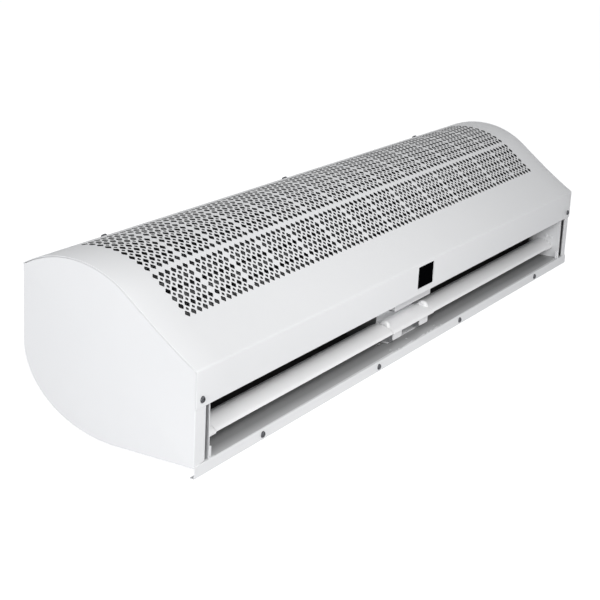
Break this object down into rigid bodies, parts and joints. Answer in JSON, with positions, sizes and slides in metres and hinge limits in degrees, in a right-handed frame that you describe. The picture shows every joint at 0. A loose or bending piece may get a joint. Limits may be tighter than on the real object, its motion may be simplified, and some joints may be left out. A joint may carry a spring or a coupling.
{
  "type": "air curtain",
  "caption": "Over-door air curtain: perforated folded cover, outlet slot with two tilting vanes, centre control window and a driven pair of cross-flow fan wheels inside.",
  "frame": {"origin": "middle of the bounding box's underside: the plane of the wall brackets' feet, which is the wall plane in use", "axes": "+X along the unit, to the right seen from the outlet; -Y out of the outlet slot, which faces down in use; +Z away from the wall. The unit lies on its wall side, as the picture shows it."},
  "size_m": [1.2, 0.26, 0.2364],
  "materials": {
    "white_paint": "satin white powder coat on sheet steel",
    "zinc_steel": "galvanised sheet, dull",
    "black_plastic": "smoked black, glossy",
    "white_plastic": "moulded, satin",
    "black_rubber": "matt",
    "screw_steel": "dark zinc-plated pan heads",
    "motor_paint": "black enamel",
    "bright_steel": "ground",
    "wheel_aluminium": "bare sheet"
  },
  "bodies": {
    "housing": {"back_casing": "white_paint", "bay_front_plate": "white_paint", "cable_grommet": "black_rubber", "capacitor_clip": "zinc_steel", "control_box": "black_plastic", "control_window": "black_plastic", "fan_motor": "motor_paint", "front_cover": "white_paint", "left_bearing_bracket": "zinc_steel", "left_bearing_bush": "black_rubber", "left_bearing_screw_1": "screw_steel", "left_bearing_screw_2": "screw_steel", "left_end_plate": "white_paint", "left_end_screw": "screw_steel", "left_motor_bulkhead": "zinc_steel", "left_motor_mount_ring": "black_rubber", "left_motor_strap": "zinc_steel", "left_side_plate": "white_paint", "left_strip_screw_1": "screw_steel", "left_strip_screw_2": "screw_steel", "left_tongue": "zinc_steel", "left_wall_bracket_1": "zinc_steel", "left_wall_bracket_2": "zinc_steel", "middle_bracket": "white_plastic", "motor_cradle": "zinc_steel", "rear_screw_1": "screw_steel", "rear_screw_2": "screw_steel", "rear_screw_3": "screw_steel", "right_bearing_bracket": "zinc_steel", "right_bearing_bush": "black_rubber", "right_bearing_screw_1": "screw_steel", "right_bearing_screw_2": "screw_steel", "right_end_plate": "white_paint", "right_end_screw": "screw_steel", "right_motor_bulkhead": "zinc_steel", "right_motor_mount_ring": "black_rubber", "right_motor_strap": "zinc_steel", "right_side_plate": "white_paint", "right_strip_screw_1": "screw_steel", "right_strip_screw_2": "screw_steel", "right_tongue": "zinc_steel", "right_wall_bracket_1": "zinc_steel", "right_wall_bracket_2": "zinc_steel", "run_capacitor": "white_plastic", "terminal_block": "white_plastic"},
    "rotor": {"motor_shaft": "bright_steel", "left_fan_wheel": "wheel_aluminium", "right_fan_wheel": "wheel_aluminium", "left_drive_hub": "black_rubber", "right_drive_hub": "black_rubber", "left_stub_shaft": "bright_steel", "right_stub_shaft": "bright_steel"},
    "left_vane": {"left_outlet_vane": "white_paint", "left_vane_cap": "white_plastic", "left_outer_pivot_pin": "bright_steel", "left_inner_pivot_pin": "bright_steel"},
    "right_vane": {"right_outlet_vane": "white_paint", "right_vane_cap": "white_plastic", "right_outer_pivot_pin": "bright_steel", "right_inner_pivot_pin": "bright_steel"}
  },
  "joints": [
    {"name": "fan_spin", "type": "hinge", "parent": "housing", "child": "rotor", "pos_m": [0, 0.06095, 0.122], "axis": [1, 0, 0], "continuous": true},
    {"name": "left_vane_tilt", "type": "hinge", "parent": "housing", "child": "left_vane", "pos_m": [-0.32, -0.09305, 0.04], "axis": [1, 0, 0], "range_deg": [-12, 12]},
    {"name": "right_vane_tilt", "type": "hinge", "parent": "housing", "child": "right_vane", "pos_m": [0.32, -0.09305, 0.04], "axis": [1, 0, 0], "range_deg": [-12, 12]}
  ]
}
